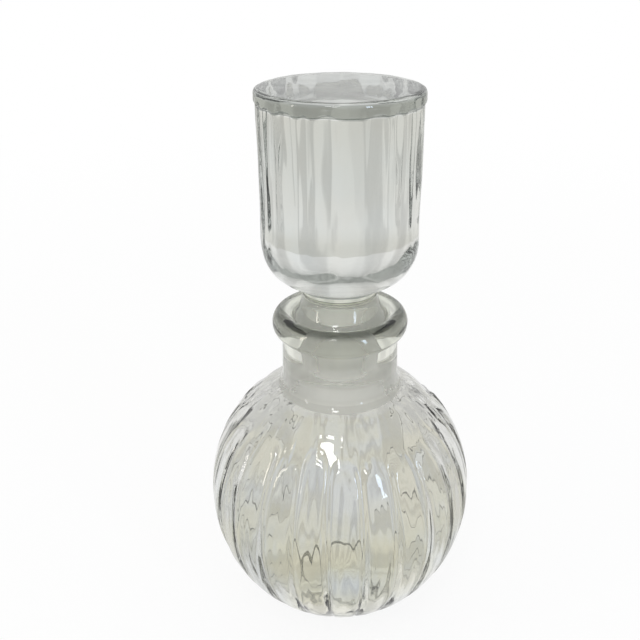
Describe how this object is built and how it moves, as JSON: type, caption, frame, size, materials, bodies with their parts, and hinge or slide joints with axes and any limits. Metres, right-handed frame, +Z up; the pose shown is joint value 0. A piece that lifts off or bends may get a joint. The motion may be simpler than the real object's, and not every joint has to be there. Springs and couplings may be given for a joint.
{
  "type": "glass carafe",
  "caption": "Ribbed round glass carafe with a short thick neck, a rolled rim and a tall solid fluted stopper with a flat disc top.",
  "frame": {"origin": "on the carafe's axis, in the plane of the foot ring it stands on", "axes": "+Z up along the axis of bottle and stopper; +X and +Y lie in the table's plane, and a valley between two ribs lies 5 degrees clockwise of each"},
  "size_m": [0.1048, 0.1048, 0.2116],
  "materials": {
    "bottle_glass": "clear, faint grey-green tint, ground inside the mouth",
    "stopper_glass": "clear, faint grey tint, ground plug"
  },
  "bodies": {
    "bottle": {"bottle": "bottle_glass"},
    "stopper": {"stopper": "stopper_glass"}
  },
  "joints": [
    {"name": "stopper_lift", "type": "slide", "parent": "bottle", "child": "stopper", "axis": [0, 0, 1], "range_m": [0, 0.03]}
  ]
}
